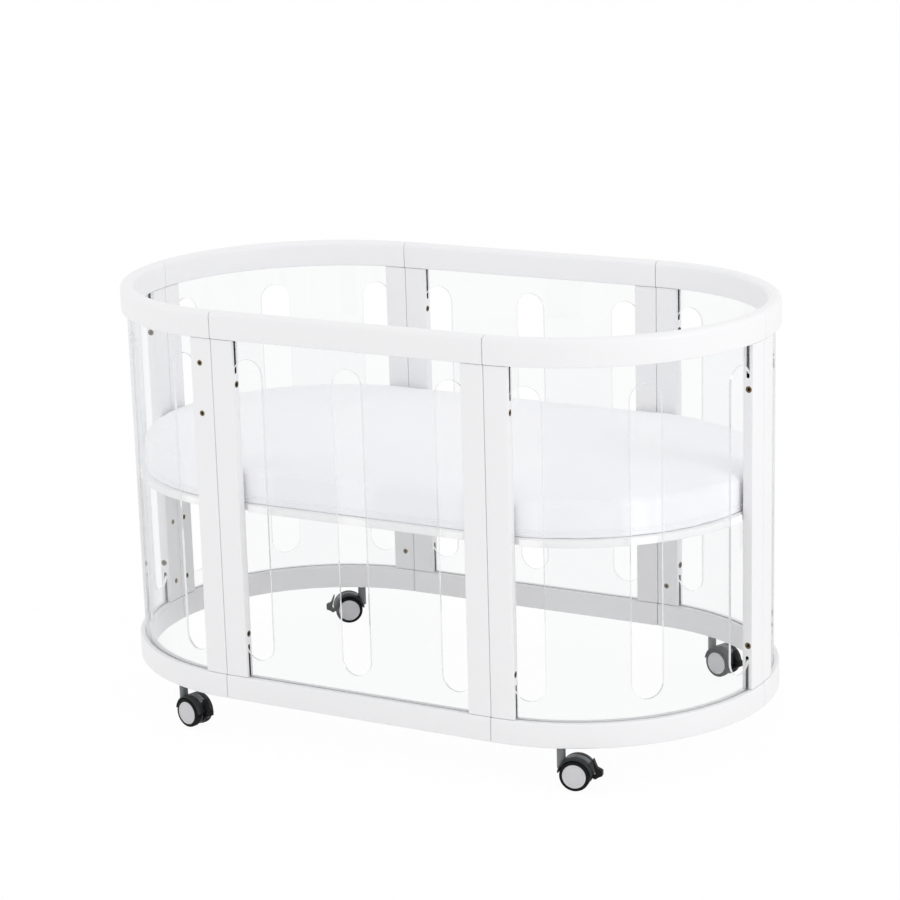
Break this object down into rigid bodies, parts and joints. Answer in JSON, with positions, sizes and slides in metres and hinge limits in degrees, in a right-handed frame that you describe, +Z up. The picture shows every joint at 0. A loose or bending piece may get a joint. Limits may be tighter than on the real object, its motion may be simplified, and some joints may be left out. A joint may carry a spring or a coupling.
{
  "type": "baby crib",
  "caption": "Oval baby crib with white rails and posts, clear slotted walls, a height-adjustable base with mattress, and twin-wheel casters with brakes.",
  "frame": {"origin": "on the floor under the middle of the oval frame", "axes": "+X along the crib's length to the right seen from the front, +Y to the back, +Z up"},
  "size_m": [1.295, 0.74, 0.811],
  "materials": {
    "painted_wood": "satin white paint",
    "clear_acrylic": "clear, polished",
    "base_board": "matt white lacquer",
    "mattress_cover": "white woven cotton",
    "steel": "zinc plated",
    "bronze": "antique bronze plated",
    "caster_plastic": "moulded grey nylon",
    "hub_plastic": "moulded light grey nylon",
    "lever_plastic": "moulded black nylon",
    "caster_tread": "black polyurethane"
  },
  "bodies": {
    "crib_frame": {"front_top_rail": "painted_wood", "front_bottom_rail": "painted_wood", "front_post_a": "painted_wood", "front_post_b": "painted_wood", "front_clear_sheet": "clear_acrylic", "back_top_rail": "painted_wood", "back_bottom_rail": "painted_wood", "back_post_a": "painted_wood", "back_post_b": "painted_wood", "back_clear_sheet": "clear_acrylic", "back_right_top_rail": "painted_wood", "back_right_bottom_rail": "painted_wood", "back_right_side_post": "painted_wood", "back_right_end_post": "painted_wood", "back_right_clear_sheet": "clear_acrylic", "back_right_caster_stem": "steel", "back_left_top_rail": "painted_wood", "back_left_bottom_rail": "painted_wood", "back_left_side_post": "painted_wood", "back_left_end_post": "painted_wood", "back_left_clear_sheet": "clear_acrylic", "back_left_caster_stem": "steel", "front_left_top_rail": "painted_wood", "front_left_bottom_rail": "painted_wood", "front_left_side_post": "painted_wood", "front_left_end_post": "painted_wood", "front_left_clear_sheet": "clear_acrylic", "front_left_caster_stem": "steel", "front_right_top_rail": "painted_wood", "front_right_bottom_rail": "painted_wood", "front_right_side_post": "painted_wood", "front_right_end_post": "painted_wood", "front_right_clear_sheet": "clear_acrylic", "front_right_caster_stem": "steel"},
    "mattress_base": {"mattress_base": "base_board", "back_right_base_bracket": "steel", "back_left_base_bracket": "steel", "front_left_base_bracket": "steel", "front_right_base_bracket": "steel"},
    "mattress": {"mattress": "mattress_cover"},
    "back_right_caster": {"back_right_caster_hood": "caster_plastic", "back_right_caster_axle": "steel"},
    "back_right_wheel_a": {"back_right_caster_wheel_a": "caster_tread"},
    "back_right_wheel_b": {"back_right_caster_wheel_b": "caster_tread"},
    "back_right_brake": {"back_right_caster_brake_lever": "lever_plastic"},
    "back_left_caster": {"back_left_caster_hood": "caster_plastic", "back_left_caster_axle": "steel"},
    "back_left_wheel_a": {"back_left_caster_wheel_a": "caster_tread"},
    "back_left_wheel_b": {"back_left_caster_wheel_b": "caster_tread"},
    "back_left_brake": {"back_left_caster_brake_lever": "lever_plastic"},
    "front_left_caster": {"front_left_caster_hood": "caster_plastic", "front_left_caster_axle": "steel"},
    "front_left_wheel_a": {"front_left_caster_wheel_a": "caster_tread"},
    "front_left_wheel_b": {"front_left_caster_wheel_b": "caster_tread"},
    "front_left_brake": {"front_left_caster_brake_lever": "lever_plastic"},
    "front_right_caster": {"front_right_caster_hood": "caster_plastic", "front_right_caster_axle": "steel"},
    "front_right_wheel_a": {"front_right_caster_wheel_a": "caster_tread"},
    "front_right_wheel_b": {"front_right_caster_wheel_b": "caster_tread"},
    "front_right_brake": {"front_right_caster_brake_lever": "lever_plastic"}
  },
  "joints": [
    {"name": "base_height", "type": "slide", "parent": "crib_frame", "child": "mattress_base", "axis": [0, 0, 1], "range_m": [-0.248, 0]},
    {"name": "mattress_lift", "type": "slide", "parent": "mattress_base", "child": "mattress", "axis": [0, 0, 1], "range_m": [0, 0.4]},
    {"name": "back_right_caster_swivel", "type": "hinge", "parent": "crib_frame", "child": "back_right_caster", "pos_m": [0.3996, 0.33547, 0.065], "axis": [0, 0, 1], "continuous": true},
    {"name": "back_right_wheel_a_roll", "type": "hinge", "parent": "back_right_caster", "child": "back_right_wheel_a", "pos_m": [0.42671, 0.32666, 0.028], "axis": [0.309, 0.9511, 0], "continuous": true},
    {"name": "back_right_wheel_b_roll", "type": "hinge", "parent": "back_right_caster", "child": "back_right_wheel_b", "pos_m": [0.42671, 0.32666, 0.028], "axis": [0.309, 0.9511, 0], "continuous": true},
    {"name": "back_right_brake_press", "type": "hinge", "parent": "back_right_caster", "child": "back_right_brake", "pos_m": [0.44906, 0.3194, 0.025], "axis": [0.309, 0.9511, 0], "range_deg": [0, 18]},
    {"name": "back_left_caster_swivel", "type": "hinge", "parent": "crib_frame", "child": "back_left_caster", "pos_m": [-0.3996, 0.33547, 0.065], "axis": [0, 0, 1], "continuous": true},
    {"name": "back_left_wheel_a_roll", "type": "hinge", "parent": "back_left_caster", "child": "back_left_wheel_a", "pos_m": [-0.4235, 0.31995, 0.028], "axis": [0.5446, -0.8387, 0], "continuous": true},
    {"name": "back_left_wheel_b_roll", "type": "hinge", "parent": "back_left_caster", "child": "back_left_wheel_b", "pos_m": [-0.4235, 0.31995, 0.028], "axis": [0.5446, -0.8387, 0], "continuous": true},
    {"name": "back_left_brake_press", "type": "hinge", "parent": "back_left_caster", "child": "back_left_brake", "pos_m": [-0.44321, 0.30715, 0.025], "axis": [0.5446, -0.8387, 0], "range_deg": [0, 18]},
    {"name": "front_left_caster_swivel", "type": "hinge", "parent": "crib_frame", "child": "front_left_caster", "pos_m": [-0.3996, -0.33547, 0.065], "axis": [0, 0, 1], "continuous": true},
    {"name": "front_left_wheel_a_roll", "type": "hinge", "parent": "front_left_caster", "child": "front_left_wheel_a", "pos_m": [-0.37195, -0.34236, 0.028], "axis": [0.2419, 0.9703, 0], "continuous": true},
    {"name": "front_left_wheel_b_roll", "type": "hinge", "parent": "front_left_caster", "child": "front_left_wheel_b", "pos_m": [-0.37195, -0.34236, 0.028], "axis": [0.2419, 0.9703, 0], "continuous": true},
    {"name": "front_left_brake_press", "type": "hinge", "parent": "front_left_caster", "child": "front_left_brake", "pos_m": [-0.34915, -0.34805, 0.025], "axis": [0.2419, 0.9703, 0], "range_deg": [0, 18]},
    {"name": "front_right_caster_swivel", "type": "hinge", "parent": "crib_frame", "child": "front_right_caster", "pos_m": [0.3996, -0.33547, 0.065], "axis": [0, 0, 1], "continuous": true},
    {"name": "front_right_wheel_a_roll", "type": "hinge", "parent": "front_right_caster", "child": "front_right_wheel_a", "pos_m": [0.42767, -0.33052, 0.028], "axis": [-0.1736, 0.9848, 0], "continuous": true},
    {"name": "front_right_wheel_b_roll", "type": "hinge", "parent": "front_right_caster", "child": "front_right_wheel_b", "pos_m": [0.42767, -0.33052, 0.028], "axis": [-0.1736, 0.9848, 0], "continuous": true},
    {"name": "front_right_brake_press", "type": "hinge", "parent": "front_right_caster", "child": "front_right_brake", "pos_m": [0.45081, -0.32644, 0.025], "axis": [-0.1736, 0.9848, 0], "range_deg": [0, 18]}
  ]
}
